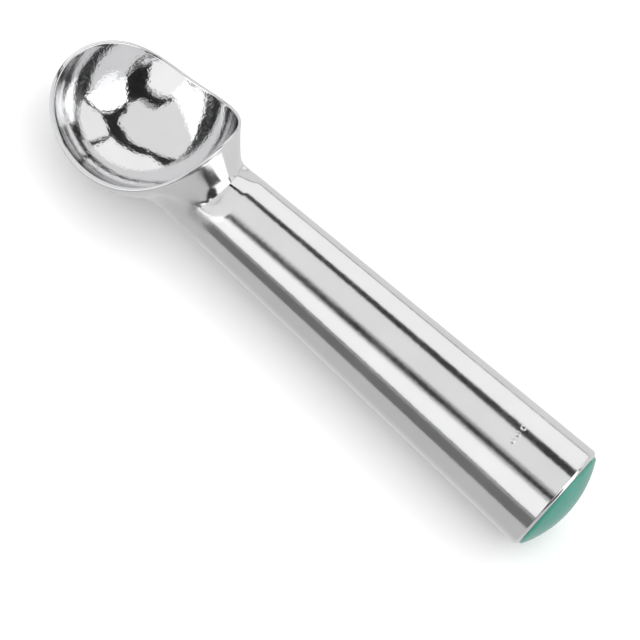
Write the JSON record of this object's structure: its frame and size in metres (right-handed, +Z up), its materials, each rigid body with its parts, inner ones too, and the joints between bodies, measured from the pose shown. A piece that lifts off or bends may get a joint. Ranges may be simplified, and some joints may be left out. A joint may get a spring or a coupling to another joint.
{
  "type": "ice cream dipper",
  "caption": "One-piece cast dipper: round bowl with a raised back, hollow tapered liquid-filled handle and a coloured domed end cap.",
  "frame": {"origin": "centre of the bounding box in plan, on the surface the dipper lies on", "axes": "+X along the handle from the bowl to the end cap, +Z up out of the bowl's mouth, +Y to the side"},
  "size_m": [0.1766, 0.0454, 0.0344],
  "materials": {
    "cast_aluminium": "polished bowl, satin handle",
    "green_plastic": "gloss moulded",
    "plug_aluminium": "turned",
    "black_rubber": "matt",
    "liquid": "clear liquid"
  },
  "bodies": {
    "root": {"body_casting": "cast_aluminium", "heat_transfer_fluid": "liquid", "sealing_plug": "plug_aluminium", "plug_o_ring": "black_rubber", "end_cap": "green_plastic"}
  },
  "joints": []
}
